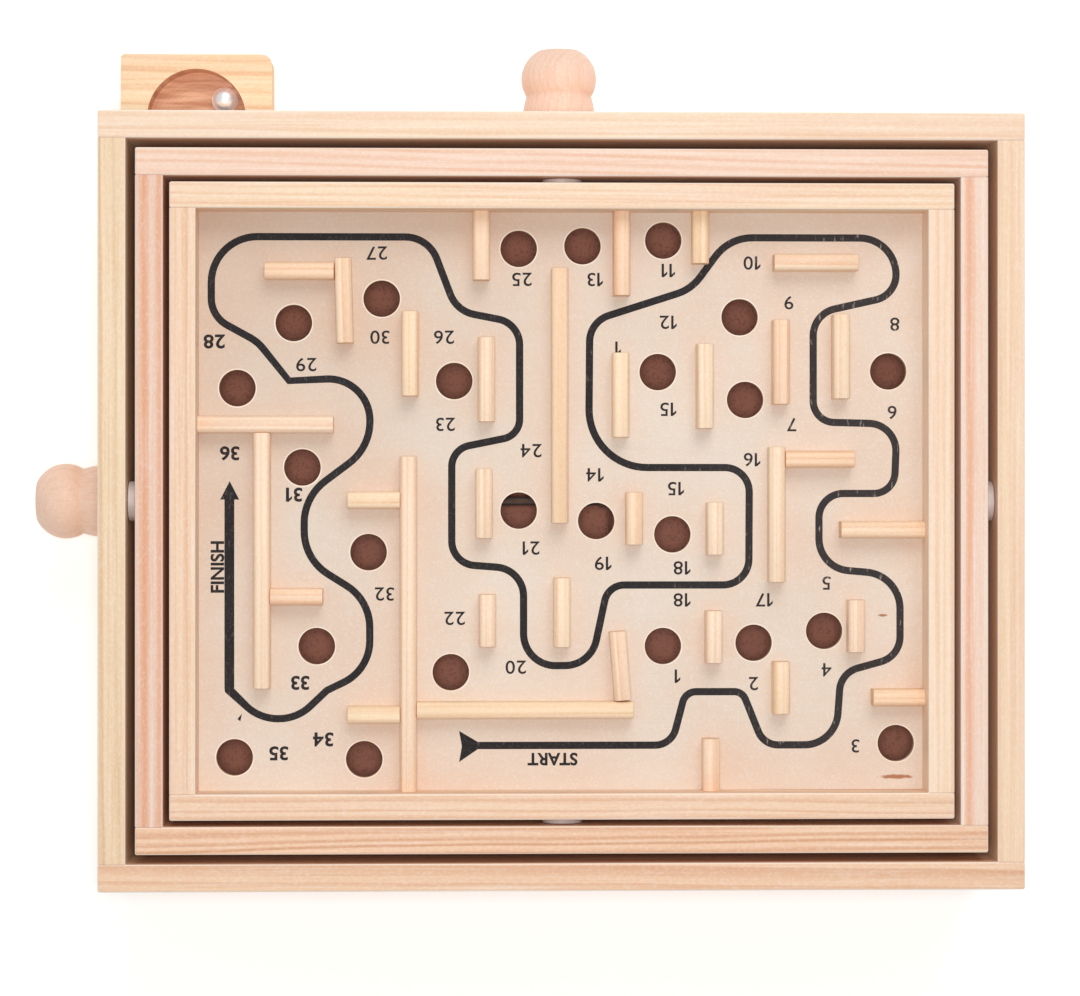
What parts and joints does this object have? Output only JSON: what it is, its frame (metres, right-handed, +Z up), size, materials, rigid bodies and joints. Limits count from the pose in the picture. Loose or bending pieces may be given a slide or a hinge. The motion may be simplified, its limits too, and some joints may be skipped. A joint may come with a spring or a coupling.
{
  "type": "tilt maze game",
  "caption": "Wooden box with two nested tilting frames, a holed maze board with glued bars, two knobs whose cords tilt it, and a ramp that returns the ball to a pocket.",
  "frame": {"origin": "middle of the box's underside, between its four panels", "axes": "+X to the player's right (the right-hand knob), +Y away from the player, +Z up; the front knob and the ball tray are on the -Y side"},
  "size_m": [0.3255, 0.28, 0.085],
  "materials": {
    "pine_box": "planed, clear satin",
    "pine_frame": "planed, clear satin",
    "pine_tray": "planed, clear satin",
    "pine_bars": "planed, bare",
    "beech": "turned, clear satin",
    "hardboard": "smooth hardboard",
    "printed_plywood": "thin plywood with a black print",
    "nylon": "white nylon",
    "black_rubber": "moulded rubber",
    "cord": "twisted thread",
    "steel_wire": "drawn steel",
    "steel_ball": "polished steel"
  },
  "bodies": {
    "box": {"front_panel": "pine_box", "back_panel": "pine_box", "left_panel": "pine_box", "right_panel": "pine_box", "corner_brads": "steel_wire", "base_board": "hardboard", "ramp_board": "hardboard", "ramp_battens": "pine_box", "ball_tray": "pine_box", "frame_pivot_pins": "steel_wire", "frame_spacers": "nylon"},
    "middle_frame": {"frame_front_rail": "pine_frame", "frame_back_rail": "pine_frame", "frame_left_rail": "pine_frame", "frame_right_rail": "pine_frame", "frame_screw_eyes": "steel_wire", "frame_cord": "cord", "frame_spring": "steel_wire", "tray_pivot_pins": "steel_wire", "tray_spacers": "nylon"},
    "maze_tray": {"tray_front_rail": "pine_tray", "tray_back_rail": "pine_tray", "tray_left_rail": "pine_tray", "tray_right_rail": "pine_tray", "tray_screw_eyes": "steel_wire", "tray_cord": "cord", "tray_spring": "steel_wire", "maze_board": "printed_plywood", "cross_bar": "pine_bars", "finish_wall_bar": "pine_bars", "medium_bar_1": "pine_bars", "medium_bar_10": "pine_bars", "medium_bar_2": "pine_bars", "medium_bar_3": "pine_bars", "medium_bar_4": "pine_bars", "medium_bar_5": "pine_bars", "medium_bar_6": "pine_bars", "medium_bar_7": "pine_bars", "medium_bar_8": "pine_bars", "medium_bar_9": "pine_bars", "middle_wall_bar": "pine_bars", "pegs": "pine_bars", "shelf_bar": "pine_bars", "short_bars": "pine_bars", "spine_bar": "pine_bars", "tee_bar": "pine_bars"},
    "front_knob": {"front_knob": "beech", "front_retainers": "black_rubber", "front_shaft": "steel_wire", "front_winding": "cord"},
    "right_knob": {"right_knob": "beech", "right_retainers": "black_rubber", "right_shaft": "steel_wire", "right_winding": "cord"},
    "ball": {"ball": "steel_ball"}
  },
  "joints": [
    {"name": "frame_tilt", "type": "hinge", "parent": "box", "child": "middle_frame", "pos_m": [0, 0, 0.074], "axis": [1, 0, 0], "range_deg": [-7, 7]},
    {"name": "tray_tilt", "type": "hinge", "parent": "middle_frame", "child": "maze_tray", "pos_m": [0, 0, 0.074], "axis": [0, 1, 0], "range_deg": [-7, 7]},
    {"name": "right_knob_turn", "type": "hinge", "parent": "box", "child": "right_knob", "pos_m": [0.15, 0, 0.036], "axis": [1, 0, 0], "range_deg": [-130, 130]},
    {"name": "front_knob_turn", "type": "hinge", "parent": "box", "child": "front_knob", "pos_m": [0, -0.126, 0.042], "axis": [0, 1, 0], "range_deg": [-110, 110]},
    {"name": "ball_lift", "type": "slide", "parent": "box", "child": "ball", "axis": [0, 0, 1], "range_m": [0, 0.05]}
  ],
  "couplings": [
    {"joint": "right_knob_turn", "follows": "frame_tilt", "ratio": -18.2},
    {"joint": "front_knob_turn", "follows": "tray_tilt", "ratio": -15.3}
  ]
}
